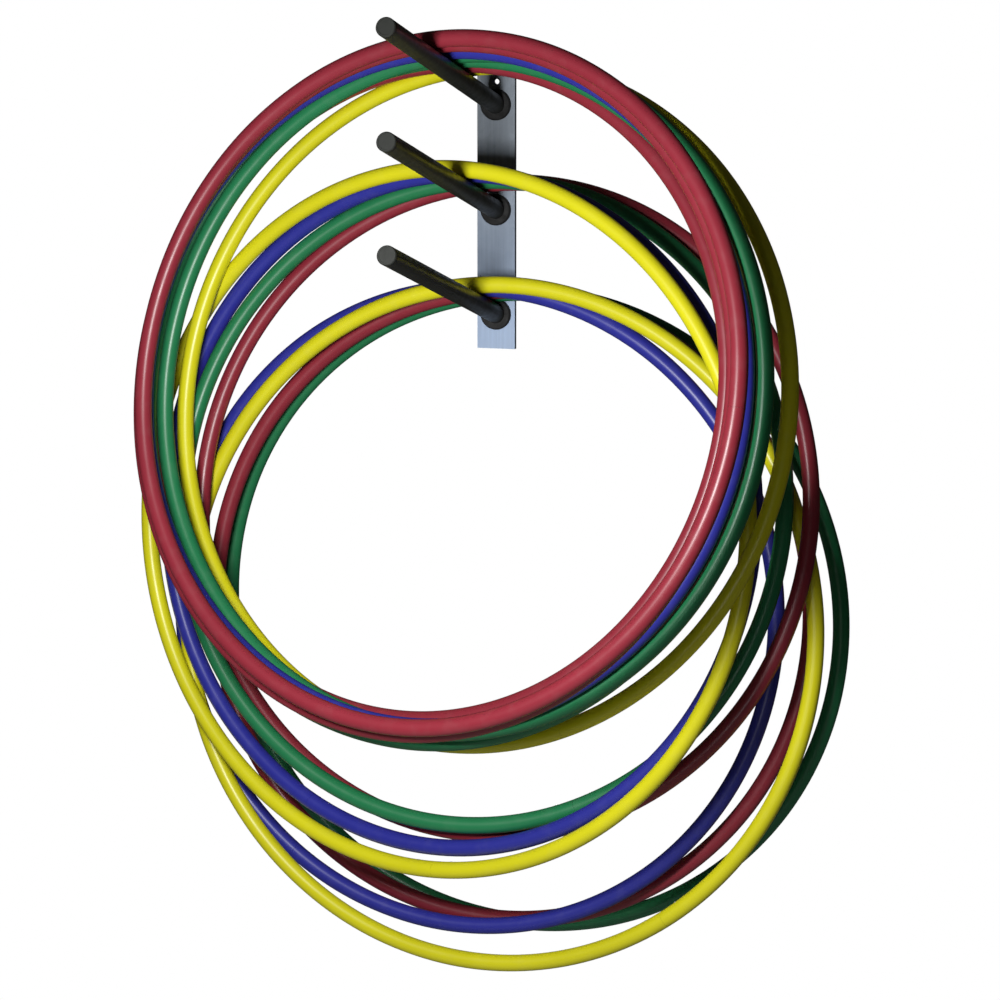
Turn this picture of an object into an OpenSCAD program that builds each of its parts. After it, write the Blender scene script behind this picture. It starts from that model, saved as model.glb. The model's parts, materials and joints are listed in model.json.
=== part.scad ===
// Wall rack for gymnastic hoops: a flat steel strip with three round pegs that rise away
// from the wall, and the tube hoops that hang on them.
// Millimetres. X to the right along the wall, +Y into the wall, +Z up. The origin is the
// middle screw hole, on the strip's rear face.

/* [Strip] */
// Width of the steel strip
strip_w = 45; // [40:1:60]
// Thickness of the steel strip
strip_t = 6; // [5:0.5:8]
// Strip beyond the middle of the lowest and the highest peg
strip_end = 40; // [34:1:60]
// Diameter of the three screw holes
screw_d = 6; // [4:0.5:8]
// Diameter of the countersink at the strip's front
sink_d = 11.5; // [9:0.5:14]
// Height of each screw hole above the peg below it
screw_rise = 26; // [25:1:34]

/* [Pegs] */
// Distance from peg to peg up the strip
peg_pitch = 120; // [110:1:140]
// Angle of the pegs above level
peg_rise = 15; // [10:1:16]
// Length of a peg along its axis, from the strip's front to the end cap's face
peg_len = 400; // [350:5:450]
// Outer diameter of the plastic sleeve on a peg
sleeve_d = 22; // [20:0.5:26]
// Diameter of the steel rod inside a peg
rod_d = 12; // [10:0.5:14]
// Diameter of the collar that covers the weld at a peg's root
collar_d = 36; // [34:1:36]
// Thickness of that collar
collar_t = 4; // [4:0.25:5]

/* [Hoops] */
// Outer diameter of the tube that the hoops are bent from
tube_d = 19; // [18:0.5:19]
// Wall of that tube
tube_wall = 2; // [1.5:0.1:2.5]
// Width of the butt seam where a tube's two ends meet
seam_gap = 0.4; // [0.2:0.1:0.8]
// Length of the dowel inside the seam
dowel_len = 90; // [70:1:110]
// Diameter of the two pins that hold the dowel
pin_d = 3; // [2:0.5:4]
// Distance along the tube from the seam to a pin
pin_from_seam = 22; // [15:1:30]

/* [Hidden] */
$fn = 64;

// Hoops in the order they lie, from the wall outwards. In turn: name; peg, 0 lowest to
// 2 highest; colour; place along the peg; lean, foot away from the wall; turn, right side
// towards the wall; swing round the peg; outer diameter; seam, clockwise from the top.
HOOPS = [
    ["low_1_green",  0, "seagreen",   16.5, -0.25, -0.75, -7, 760, 200],
    ["low_2_red",    0, "firebrick",  36.5, 5.5, -2.25, -5.75, 740, 170],
    ["low_3_blue",   0, "mediumblue", 57.5, 5.25, -4.25, 0.25, 750, 215],
    ["low_4_yellow", 0, "yellow",     78.5, 5.75, -5.25, -5.25, 790, 150],
    ["mid_1_red",    1, "firebrick",  48.5, 12, -4.25, -7.5, 755, 185],
    ["mid_2_green",  1, "seagreen",   68.5, 12, -4, -4, 745, 160],
    ["mid_3_blue",   1, "mediumblue", 110, 8.25, -12, -0.75, 775, 205],
    ["mid_4_yellow", 1, "yellow",     138.5, 6.25, -13.5, 1.5, 805, 175],
    ["top_1_yellow", 2, "yellow",     100.5, 12.75, -10.75, -8, 775, 165],
    ["top_2_red",    2, "firebrick",  122, 13.25, -12.75, -0.5, 750, 210],
    ["top_3_green",  2, "seagreen",   147, 12, -10.5, -2.75, 775, 235],
    ["top_4_green",  2, "seagreen",   167, 12, -11, -6.75, 765, 180],
    ["top_5_blue",   2, "mediumblue", 190.5, 11.75, -10.25, -3.75, 760, 155],
    ["top_6_red",    2, "firebrick",  223.5, 13, -14, -5.75, 770, 185],
    ["top_7_red",    2, "firebrick",  244, 13.25, -13.5, -7.5, 765, 98]
];
PEGS = ["low", "mid", "top"];
PEG_PARTS = ["rod", "sleeve", "end_cap", "collar"];
HOOP_PARTS = ["tube", "dowel", "pins"];

// Every node: the strip, the four pieces of each peg, the welds, and three pieces a hoop

run_fit = 0.05;     // gap round a rod where it is welded or held
sleeve_fit = 0.1;   // gap between a sleeve and the rod or cap spigot in it
rest_gap = 0.4;     // gap between a hoop and the peg it hangs on
cap_len = 7;        // length of an end cap outside its sleeve
spigot_len = 10;    // length of an end cap's spigot
cap_rim = 2.5;      // width of the rim round a cap's sunk face
cap_sink = 0.8;     // depth of that face
cap_edge = 1;       // chamfer round the rim
collar_edge = 1.5;  // chamfer round a collar
weld_h = 2.5;       // height of a weld bead on the strip
weld_leg = 3;       // width of a weld bead round its rod, at the strip
weld_tip = 1;       // the same at the bead's front
weld_room = 0.5;    // gap between a weld bead and the collar over it
dowel_fit = 0.15;   // gap between a dowel and the tube's bore
pin_short = 1;      // how much shorter a pin is than tube and far bore
skin = 1;           // how far a cutting solid runs past what it cuts
root_run = 40;      // how far a peg's pieces are drawn past its root, to be cut there
far = 1000;         // side of a cutting block, larger than the rack
bore_d = tube_d - 2 * tube_wall;
pin_len = (tube_d + bore_d) / 2 - pin_short;

// Height of a peg's root, counted from the middle screw hole
function root_z(peg) = (peg - 1) * peg_pitch - screw_rise;

// Direction of the pegs
function peg_dir() = [0, -cos(peg_rise), sin(peg_rise)];

// Direction of a hoop's tube where it crosses the peg
function hoop_across(lean, turn, swing) = [
    cos(swing) * cos(turn) + sin(swing) * sin(lean) * sin(turn),
    cos(swing) * sin(turn) - sin(swing) * sin(lean) * cos(turn),
    -sin(swing) * cos(lean)
];

// Direction from the peg's axis to the tube that rests on it, square to both
function rest_dir(across) =
    let (square = cross(peg_dir(), across), side = sign(square[2]))
    side * square / norm(square);

// Centre of the tube above the peg, counted from the peg's root
function hang_point(along, across) =
    along * peg_dir() + (sleeve_d + tube_d + 2 * rest_gap) / 2 * rest_dir(across);

// Stands what is drawn along Z on a peg's axis, with its zero at the peg's root
module on_peg_axis(peg) {
    translate([0, -strip_t, root_z(peg)])
        rotate([90 - peg_rise, 0, 0])
            children();
}

// A round bar between two places on its axis
module rod_shape(d, from, to) {
    translate([0, 0, from])
        cylinder(d = d, h = to - from);
}

// Everything that lies further from the wall than a given depth
module before(depth) {
    translate([-far / 2, -far - depth, -far / 2])
        cube([far, far, far]);
}

module wall_strip() {
    bottom = root_z(0) - strip_end;
    color("slategray")
        difference() {
            translate([-strip_w / 2, -strip_t, bottom])
                cube([strip_w, strip_t, 2 * peg_pitch + 2 * strip_end]);
            for (peg = [0:2]) {
                screw_hole(root_z(peg) + screw_rise);
                on_peg_axis(peg)
                    rod_shape(rod_d + 2 * run_fit, -root_run, root_run);
            }
        }
}

module screw_hole(z) {
    sink_depth = (sink_d - screw_d) / 2;
    translate([0, 0, z])
        rotate([90, 0, 0]) {
            translate([0, 0, -skin])
                cylinder(d = screw_d, h = strip_t + 2 * skin);
            translate([0, 0, strip_t - sink_depth])
                cylinder(d1 = screw_d, d2 = sink_d + 2 * skin, h = sink_depth + skin);
        }
}

module peg_rod(peg) {
    color("silver")
        intersection() {
            on_peg_axis(peg)
                rod_shape(rod_d, -root_run, peg_len - cap_len - spigot_len - skin);
            before(0);
        }
}

module peg_sleeve(peg) {
    color([0.12, 0.12, 0.12])
        intersection() {
            on_peg_axis(peg)
                difference() {
                    rod_shape(sleeve_d, -root_run, peg_len - cap_len);
                    rod_shape(rod_d + 2 * sleeve_fit, -root_run - skin, peg_len);
                }
            before(strip_t + collar_t);
        }
}

module peg_end_cap(peg) {
    color([0.2, 0.2, 0.2])
        on_peg_axis(peg)
            difference() {
                union() {
                    rod_shape(sleeve_d, peg_len - cap_len, peg_len - cap_edge);
                    translate([0, 0, peg_len - cap_edge])
                        cylinder(d1 = sleeve_d, d2 = sleeve_d - 2 * cap_edge, h = cap_edge);
                    rod_shape(rod_d, peg_len - cap_len - spigot_len, peg_len - cap_len);
                }
                rod_shape(sleeve_d - 2 * cap_rim, peg_len - cap_sink, peg_len + skin);
            }
}

// Collar flat on the strip, hollow behind for the weld
module peg_collar(peg) {
    color([0.12, 0.12, 0.12])
        difference() {
            translate([0, -strip_t, root_z(peg)])
                rotate([90, 0, 0]) {
                    cylinder(d = collar_d, h = collar_t - collar_edge);
                    translate([0, 0, collar_t - collar_edge])
                        cylinder(d1 = collar_d, d2 = collar_d - 2 * collar_edge, h = collar_edge);
                }
            on_peg_axis(peg)
                rod_shape(rod_d + 2 * sleeve_fit, -root_run, root_run);
            translate([0, -strip_t, root_z(peg)])
                rotate([90, 0, 0])
                    translate([0, 0, -skin])
                        cylinder(
                            d = rod_d + 2 * (weld_leg + weld_room),
                            h = weld_h + weld_room + skin
                        );
        }
}

// Fillet welds round the rods, on the front of the strip
module weld_beads() {
    color("dimgray")
        for (peg = [0:2])
            difference() {
                translate([0, -strip_t, root_z(peg)])
                    rotate([90, 0, 0])
                        cylinder(d1 = rod_d + 2 * weld_leg, d2 = rod_d + 2 * weld_tip, h = weld_h);
                on_peg_axis(peg)
                    rod_shape(rod_d + 2 * run_fit, -root_run, root_run);
            }
}

// Puts a ring, drawn about the origin with its face to the front, where a hoop hangs
module hang(hoop) {
    lean = hoop[4];
    turn = hoop[5];
    swing = hoop[6];
    translate([0, -strip_t, root_z(hoop[1])] + hang_point(hoop[3], hoop_across(lean, turn, swing)))
        rotate([0, 0, turn])
            rotate([-lean, 0, 0])
                rotate([0, swing, 0])
                    translate([0, 0, -ring_r(hoop)])
                        children();
}

// Radius of a hoop to the middle of its tube
function ring_r(hoop) = (hoop[7] - tube_d) / 2;

// Turns a ring's seam, drawn at the top, to its place
module at_seam(hoop, along = 0) {
    rotate([0, hoop[8] + along / ring_r(hoop) * 180 / PI, 0])
        children();
}

// A pin or its hole, from the tube's inner side out towards the far wall
module pin_shape(hoop, d, from) {
    for (side = [-1, 1])
        at_seam(hoop, side * pin_from_seam)
            translate([0, 0, ring_r(hoop) + from])
                cylinder(d = d, h = pin_len - tube_d / 2 - from);
}

module hoop_tube(hoop) {
    r = ring_r(hoop);
    color(hoop[2])
        hang(hoop)
            difference() {
                rotate([90, 0, 0])
                    rotate_extrude($fn = 180)
                        translate([r, 0])
                            difference() {
                                circle(d = tube_d);
                                circle(d = bore_d);
                            }
                at_seam(hoop)
                    translate([-seam_gap / 2, -tube_d, r - tube_d])
                        cube([seam_gap, 2 * tube_d, 2 * tube_d]);
                pin_shape(hoop, pin_d + 2 * run_fit, -tube_d / 2 - skin);
            }
}

module hoop_dowel(hoop) {
    r = ring_r(hoop);
    span = dowel_len / r * 180 / PI;
    color("ivory")
        hang(hoop)
            difference() {
                at_seam(hoop)
                    rotate([0, span / 2 - 90, 0])
                        rotate([90, 0, 0])
                            rotate_extrude(angle = span, $fn = 180)
                                translate([r, 0])
                                    circle(d = bore_d - 2 * dowel_fit);
                pin_shape(hoop, pin_d + 2 * run_fit, -tube_d / 2 - skin);
            }
}

module hoop_pins(hoop) {
    color("silver")
        hang(hoop)
            pin_shape(hoop, pin_d, -tube_d / 2 + run_fit);
}

wall_strip();
weld_beads();

for (peg = [0:2]) {
    peg_rod(peg);
    peg_sleeve(peg);
    peg_end_cap(peg);
    peg_collar(peg);
}

for (hoop = HOOPS) {
    hoop_tube(hoop);
    hoop_dowel(hoop);
    hoop_pins(hoop);
}
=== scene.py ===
"""The looks of the wall rack and its fifteen hoops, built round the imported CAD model."""

import json
import math

import bpy
import numpy as np
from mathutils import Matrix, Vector

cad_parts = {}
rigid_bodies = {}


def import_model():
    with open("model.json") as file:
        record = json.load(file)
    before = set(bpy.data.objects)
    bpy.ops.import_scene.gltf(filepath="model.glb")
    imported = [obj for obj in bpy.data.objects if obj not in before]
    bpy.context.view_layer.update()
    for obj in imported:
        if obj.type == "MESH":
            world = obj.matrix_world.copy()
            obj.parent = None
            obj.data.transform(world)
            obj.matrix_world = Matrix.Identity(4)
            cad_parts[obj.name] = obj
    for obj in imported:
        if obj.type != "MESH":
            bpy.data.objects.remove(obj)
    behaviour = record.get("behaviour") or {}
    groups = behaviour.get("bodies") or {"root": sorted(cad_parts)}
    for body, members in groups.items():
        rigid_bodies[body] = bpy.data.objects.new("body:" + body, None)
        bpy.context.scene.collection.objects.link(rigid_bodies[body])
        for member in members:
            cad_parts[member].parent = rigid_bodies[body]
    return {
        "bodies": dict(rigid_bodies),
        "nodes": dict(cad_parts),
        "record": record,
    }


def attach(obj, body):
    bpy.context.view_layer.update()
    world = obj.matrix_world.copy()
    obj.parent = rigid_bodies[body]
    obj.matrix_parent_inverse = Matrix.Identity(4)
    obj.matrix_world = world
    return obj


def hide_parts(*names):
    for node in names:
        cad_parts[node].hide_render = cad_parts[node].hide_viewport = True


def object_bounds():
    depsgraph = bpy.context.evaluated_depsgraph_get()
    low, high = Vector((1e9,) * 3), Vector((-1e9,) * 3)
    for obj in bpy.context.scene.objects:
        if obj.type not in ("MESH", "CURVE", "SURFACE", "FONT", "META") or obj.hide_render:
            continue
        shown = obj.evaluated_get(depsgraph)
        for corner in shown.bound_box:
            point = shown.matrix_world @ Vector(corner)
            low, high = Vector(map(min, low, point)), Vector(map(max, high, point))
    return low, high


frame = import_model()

MM = 0.001
CAD_LOW, CAD_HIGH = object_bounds()
CENTRE = (CAD_LOW + CAD_HIGH) / 2
NODES = frame["nodes"]
HOOPS = [body for body in frame["bodies"] if body != "rack"]

# Hoop tube, in metres
TUBE_R = 9.5 * MM
BORE_R = 7.5 * MM
SEAM_GAP = 0.2 * MM
RING_STEPS = 240        # faces round a hoop
TUBE_SIDES = 32         # faces round its tube
WAVE = 0.06 * MM        # how far the extruded wall rises and falls
WAVE_TURNS = (7, 11)    # how often, as the product of two waves

# Camera: place and angles of the photographed view
CAMERA_AT = (1.406, -4.472, 0.379)
CAMERA_TURN = 17.42
CAMERA_DOWN = 9.00
CAMERA_LENS = 147.4

FLOOR_DROP = 0.35       # from the lowest hoop to the floor
FLOOR_HALF = 30.0

STRIP_PAINTED_SHADE_SPAN = (-0.17, 0.02)   # heights between which a painted light gradient turns the strip from a painted bright reflection at the bottom to painted shade at the top
STRIP_EDGE = 0.8 * MM

# Plain colours, linear
RED = (0.280, 0.026, 0.042)
GREEN = (0.018, 0.200, 0.075)
BLUE = (0.028, 0.032, 0.310)
YELLOW = (0.740, 0.700, 0.012)


# ---------------------------------------------------------------- shader helpers


class Shader:
    """A small wrapper that adds and joins the nodes of one material."""

    def __init__(self, name):
        self.material = bpy.data.materials.new(name)
        self.material.use_nodes = True
        self.tree = self.material.node_tree
        self.surface = self.tree.nodes["Principled BSDF"]
        self.place = self.add("ShaderNodeTexCoord").outputs["Object"]

    def add(self, kind, **values):
        node = self.tree.nodes.new(kind)
        for key, value in values.items():
            setattr(node, key, value)
        return node

    def join(self, source, target):
        self.tree.links.new(source, target)

    def stretched(self, scale):
        """The surface's place, scaled by three factors."""
        mapping = self.add("ShaderNodeMapping")
        mapping.inputs["Scale"].default_value = scale
        self.join(self.place, mapping.inputs["Vector"])
        return mapping.outputs["Vector"]

    def noise(self, scale, detail=2.0, place=None):
        texture = self.add("ShaderNodeTexNoise")
        texture.inputs["Scale"].default_value = scale
        texture.inputs["Detail"].default_value = detail
        self.join(place or self.place, texture.inputs["Vector"])
        return texture.outputs["Fac"]

    def ramp(self, value, low, high, at=(0.3, 0.7)):
        """Maps a value to a range of numbers."""
        span = self.add("ShaderNodeMapRange")
        span.inputs["From Min"].default_value = at[0]
        span.inputs["From Max"].default_value = at[1]
        span.inputs["To Min"].default_value = low
        span.inputs["To Max"].default_value = high
        self.join(value, span.inputs["Value"])
        return span.outputs["Result"]

    def blend(self, factor, first, second):
        """Mixes two colours, each a triple or a socket."""
        mix = self.add("ShaderNodeMix", data_type="RGBA")
        self.join(factor, mix.inputs["Factor"])
        for socket, colour in ((mix.inputs["A"], first), (mix.inputs["B"], second)):
            if isinstance(colour, tuple):
                socket.default_value = (*colour, 1.0)
            else:
                self.join(colour, socket)
        return mix.outputs["Result"]

    def colour(self, source):
        self.join(source, self.surface.inputs["Base Color"])

    def roughness(self, value, low, high):
        """Lets a value of about one half move the roughness between two numbers."""
        self.join(self.ramp(value, low, high), self.surface.inputs["Roughness"])

    def bump(self, heights):
        """Adds bumps, each a (height socket, depth in metres, strength)."""
        normal = None
        for height, depth, strength in heights:
            bump = self.add("ShaderNodeBump")
            bump.inputs["Strength"].default_value = strength
            bump.inputs["Distance"].default_value = depth
            self.join(height, bump.inputs["Height"])
            if normal:
                self.join(normal, bump.inputs["Normal"])
            normal = bump.outputs["Normal"]
        self.join(normal, self.surface.inputs["Normal"])

    def set(self, **values):
        for key, value in values.items():
            self.surface.inputs[key.replace("_", " ")].default_value = value


def shade(colour, factor):
    return tuple(channel * factor for channel in colour)


# ---------------------------------------------------------------- materials


def hoop_plastic(name, colour):
    """Extruded semi-gloss plastic, a little uneven, scuffed and dusty."""
    look = Shader(name)
    patches = look.noise(7.0, 3.0)
    tone = look.blend(look.ramp(patches, 0.0, 1.0), shade(colour, 0.93), shade(colour, 1.04))
    dust = look.ramp(look.noise(55.0, 5.0), 0.0, 0.04, at=(0.52, 0.80))
    look.colour(look.blend(dust, tone, (0.45, 0.43, 0.40)))
    look.roughness(look.noise(60.0, 3.0), 0.32, 0.38)
    look.set(IOR=1.48)
    look.bump([(look.noise(18.0, 1.0), 0.3 * MM, 0.04)])
    return look.material


def black_plastic(name, colour, rough):
    """Moulded black plastic with a fine grain and grey rub marks."""
    look = Shader(name)
    marks = look.noise(30.0, 6.0, look.stretched((3.0, 1.0, 1.0)))
    rubs = look.ramp(marks, 0.0, 0.35, at=(0.50, 0.85))
    look.colour(look.blend(rubs, colour, shade(colour, 2.6)))
    look.roughness(look.noise(140.0, 3.0), rough - 0.07, rough + 0.08)
    look.bump([(look.noise(1300.0, 2.0), 0.08 * MM, 0.35)])
    return look.material


def zinc_strip(name):
    """Zinc-coated steel: cold grey-blue, with painted shade darkening it towards its top and a
    painted bright bluish reflection towards its bottom, faint spangle, rolled streaks.
    """
    look = Shader(name)
    streaks = look.noise(14.0, 5.0, look.stretched((22.0, 22.0, 0.8)))
    spangle = look.add("ShaderNodeTexVoronoi")
    spangle.inputs["Scale"].default_value = 150.0
    look.join(look.place, spangle.inputs["Vector"])
    cells = look.ramp(spangle.outputs["Color"], 0.0, 0.12, at=(0.0, 1.0))
    height = look.add("ShaderNodeSeparateXYZ")
    look.join(look.place, height.inputs["Vector"])
    # Painted light: by height alone, the colour goes from a painted bright bluish reflection at
    # the bottom to painted shade at the top.
    painted_shade_by_height = look.ramp(height.outputs["Z"], 0.0, 1.0, at=STRIP_PAINTED_SHADE_SPAN)
    painted_shaded_top = look.blend(look.ramp(streaks, 0.0, 1.0), (0.140, 0.165, 0.195), (0.200, 0.230, 0.265))
    painted_lit_bottom = look.blend(look.ramp(streaks, 0.0, 1.0), (0.27, 0.35, 0.49), (0.36, 0.46, 0.63))
    base = look.blend(painted_shade_by_height, painted_lit_bottom, painted_shaded_top)
    look.colour(look.blend(cells, base, (0.40, 0.46, 0.56)))
    look.roughness(streaks, 0.50, 0.62)
    look.set(Metallic=0.25)
    look.bump([(streaks, 0.1 * MM, 0.15)])
    return look.material


def bare_steel(name, colour, rough):
    """Plain steel with fine drawing marks."""
    look = Shader(name)
    marks = look.noise(220.0, 3.0)
    look.colour(look.blend(look.ramp(marks, 0.0, 1.0), shade(colour, 0.8), colour))
    look.roughness(marks, rough - 0.06, rough + 0.08)
    look.set(Metallic=1.0)
    look.bump([(marks, 0.05 * MM, 0.2)])
    return look.material


def dowel_plastic(name):
    """Natural nylon, slightly cloudy."""
    look = Shader(name)
    cloud = look.ramp(look.noise(90.0, 4.0), 0.0, 1.0)
    look.colour(look.blend(cloud, (0.62, 0.58, 0.48), (0.74, 0.71, 0.62)))
    look.roughness(look.noise(200.0), 0.45, 0.60)
    return look.material


MATERIALS = {
    "hoop_red": hoop_plastic("red_plastic", RED),
    "hoop_green": hoop_plastic("green_plastic", GREEN),
    "hoop_blue": hoop_plastic("blue_plastic", BLUE),
    "hoop_yellow": hoop_plastic("yellow_plastic", YELLOW),
    "peg_black": black_plastic("sleeve_plastic", (0.020, 0.021, 0.018), 0.42),
    "cap_black": black_plastic("cap_plastic", (0.012, 0.014, 0.011), 0.60),
    # The collar's own black plastic is darkened below the sleeve's and cap's black as painted
    # shade at the peg roots.
    "collar_black": black_plastic("collar_plastic_painted_shade", (0.004, 0.004, 0.004), 0.75),
    "galvanised_strip": zinc_strip("zinc_steel"),
    "weld": bare_steel("weld_steel", (0.20, 0.20, 0.21), 0.5),
    "bare_rod": bare_steel("rod_steel", (0.55, 0.55, 0.56), 0.3),
    "pin": bare_steel("pin_steel", (0.60, 0.60, 0.62), 0.3),
    "dowel": dowel_plastic("dowel_nylon"),
}


def dress_cad_nodes():
    """Gives every CAD node its slot's material, and the strip slightly rounded edges."""
    for part in frame["record"]["subparts"]:
        node = NODES[part["node"]]
        node.data.materials.clear()
        node.data.materials.append(MATERIALS[part["material_slot"]])
    edges = NODES["wall_strip"].modifiers.new("soft_edges", "BEVEL")
    edges.width = STRIP_EDGE
    edges.segments = 2
    edges.limit_method = "ANGLE"


# ---------------------------------------------------------------- hoops


def vertices_of(name):
    mesh = NODES[name].data
    flat = np.empty(len(mesh.vertices) * 3)
    mesh.vertices.foreach_get("co", flat)
    return flat.reshape(-1, 3)


def faces_of(name):
    """Middle and area of each face of a CAD node."""
    mesh = NODES[name].data
    middles = np.empty(len(mesh.polygons) * 3)
    areas = np.empty(len(mesh.polygons))
    mesh.polygons.foreach_get("center", middles)
    mesh.polygons.foreach_get("area", areas)
    return middles.reshape(-1, 3), areas


def ring_of(hoop):
    """A hoop's ring as the CAD tube has it: centre, radius, and the directions from the centre
    to the seam, across it in the ring's plane, and out of that plane."""
    middles, areas = faces_of(hoop + "_tube")
    centre = (middles * areas[:, None]).sum(0) / areas.sum()
    spread = (middles - centre) * np.sqrt(areas)[:, None]
    normal = np.linalg.eigh(spread.T @ spread)[1][:, 0]
    normal *= -np.sign(normal[1])
    arms = vertices_of(hoop + "_tube") - centre
    reach = np.linalg.norm(arms - np.outer(arms @ normal, normal), axis=1)
    dowel_middles, dowel_areas = faces_of(hoop + "_dowel")
    seam = (dowel_middles * dowel_areas[:, None]).sum(0) / dowel_areas.sum() - centre
    seam -= (seam @ normal) * normal
    seam /= np.linalg.norm(seam)
    return centre, (reach.max() + reach.min()) / 2, seam, np.cross(normal, seam), normal


def mesh_piece(name, points, smooth, flat, material):
    """A mesh of smooth faces and flat faces on one set of points."""
    mesh = bpy.data.meshes.new(name)
    mesh.from_pydata([tuple(point) for point in points], [], smooth + flat)
    mesh.polygons.foreach_set("use_smooth", [True] * len(smooth) + [False] * len(flat))
    mesh.materials.append(material)
    piece = bpy.data.objects.new(name, mesh)
    bpy.context.scene.collection.objects.link(piece)
    return piece


def tube_rings(centre, radius, seam, across, normal, wall_r, phase):
    """Points of one wall of the tube, ring by ring, from one side of the seam to the other."""
    half_gap = SEAM_GAP / 2 / radius
    turn = np.linspace(half_gap, 2 * math.pi - half_gap, RING_STEPS + 1)
    side = np.linspace(0, 2 * math.pi, TUBE_SIDES, endpoint=False)
    first, second = WAVE_TURNS
    swell = wall_r + WAVE * np.sin(first * turn + phase) * np.sin(second * turn + 2 * phase)
    out = np.outer(np.cos(turn), seam) + np.outer(np.sin(turn), across)
    in_plane = radius + np.outer(swell, np.cos(side))
    off_plane = np.outer(swell, np.sin(side))
    return centre + in_plane[..., None] * out[:, None, :] + off_plane[..., None] * normal


def hoop_tube(hoop, index):
    """The hollow tube with its open seam, smooth all the way round."""
    ring = ring_of(hoop)
    outer = tube_rings(*ring, TUBE_R, index)
    inner = tube_rings(*ring, BORE_R, index)
    ends_at = np.concatenate([outer[0], inner[0], outer[-1], inner[-1]])
    points = np.concatenate([outer.reshape(-1, 3), inner.reshape(-1, 3), ends_at])
    first_inner = (RING_STEPS + 1) * TUBE_SIDES
    start_outer = 2 * first_inner
    start_inner = start_outer + TUBE_SIDES
    stop_outer = start_inner + TUBE_SIDES
    stop_inner = stop_outer + TUBE_SIDES
    walls = []
    ends = []
    for side in range(TUBE_SIDES):
        after = (side + 1) % TUBE_SIDES
        for step in range(RING_STEPS):
            low, high = step * TUBE_SIDES, (step + 1) * TUBE_SIDES
            walls.append((low + side, low + after, high + after, high + side))
            inward = (low + side, high + side, high + after, low + after)
            walls.append(tuple(first_inner + corner for corner in inward))
        ends.append((
            start_outer + side, start_inner + side, start_inner + after, start_outer + after
        ))
        ends.append((
            stop_outer + side, stop_outer + after, stop_inner + after, stop_inner + side
        ))
    slot = "hoop_" + hoop.rsplit("_", 1)[1]
    piece = mesh_piece(hoop + "_smooth_tube", points, walls, ends, MATERIALS[slot])
    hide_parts(hoop + "_tube")
    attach(piece, hoop)
    return piece


# ---------------------------------------------------------------- stage, light and camera


def stage_white(name, brightness):
    """White to the camera, a softer white to the light that bounces off it."""
    look = Shader(name)
    look.set(Base_Color=(0.45, 0.45, 0.45, 1.0), Roughness=0.9)
    glow = look.add("ShaderNodeEmission")
    glow.inputs["Strength"].default_value = brightness
    path = look.add("ShaderNodeLightPath")
    mix = look.add("ShaderNodeMixShader")
    look.join(path.outputs["Is Camera Ray"], mix.inputs["Fac"])
    look.join(look.surface.outputs["BSDF"], mix.inputs[1])
    look.join(glow.outputs["Emission"], mix.inputs[2])
    look.join(mix.outputs["Shader"], look.tree.nodes["Material Output"].inputs["Surface"])
    return look.material


def make_floor():
    half = FLOOR_HALF
    z = CAD_LOW.z - FLOOR_DROP
    corners = [(-half, -half, z), (half, -half, z), (half, half, z), (-half, half, z)]
    floor = mesh_piece("floor", corners, [], [(0, 1, 2, 3)], stage_white("floor_white", 1.0))


def make_world(seen, ambient):
    """A white room for the camera, and a dimmer one for the light that falls on the object."""
    world = bpy.data.worlds.new("room")
    world.use_nodes = True
    bpy.context.scene.world = world
    tree = world.node_tree
    tree.nodes.clear()
    output = tree.nodes.new("ShaderNodeOutputWorld")
    mix = tree.nodes.new("ShaderNodeMixShader")
    path = tree.nodes.new("ShaderNodeLightPath")
    tree.links.new(path.outputs["Is Camera Ray"], mix.inputs["Fac"])
    for slot, colour, strength in ((1, (1.0, 0.95, 0.84), ambient), (2, (1.0, 1.0, 1.0), seen)):
        background = tree.nodes.new("ShaderNodeBackground")
        background.inputs["Color"].default_value = (*colour, 1.0)
        background.inputs["Strength"].default_value = strength
        tree.links.new(background.outputs["Background"], mix.inputs[slot])
    tree.links.new(mix.outputs["Shader"], output.inputs["Surface"])


def soft_light(name, turn, up, distance, size, power):
    """A square softbox that faces the object, by its turn and height as seen from the front."""
    lamp = bpy.data.lights.new(name, "AREA")
    lamp.shape = "SQUARE"
    lamp.size = size
    lamp.energy = power
    holder = bpy.data.objects.new(name, lamp)
    turn, up = math.radians(turn), math.radians(up)
    away = Vector((math.sin(turn) * math.cos(up), -math.cos(turn) * math.cos(up), math.sin(up)))
    holder.location = CENTRE + away * distance
    holder.rotation_euler = away.to_track_quat("Z", "Y").to_euler()
    bpy.context.scene.collection.objects.link(holder)


def make_camera():
    data = bpy.data.cameras.new("camera")
    data.lens = CAMERA_LENS
    data.sensor_width = 36.0
    data.clip_end = 100.0
    camera = bpy.data.objects.new("camera", data)
    camera.location = CAMERA_AT
    camera.rotation_euler = (math.radians(90.0 - CAMERA_DOWN), 0.0, math.radians(CAMERA_TURN))
    bpy.context.scene.collection.objects.link(camera)
    bpy.context.scene.camera = camera


make_camera()
make_floor()
make_world(seen=1.0, ambient=0.025)
soft_light("key", turn=2.0, up=14.0, distance=1.25, size=0.25, power=18.5)
soft_light("front_fill", turn=10.0, up=-8.0, distance=3.4, size=0.8, power=6.0)
bpy.context.scene.view_settings.view_transform = "Standard"

dress_cad_nodes()
for index, hoop in enumerate(HOOPS):
    hoop_tube(hoop, index)
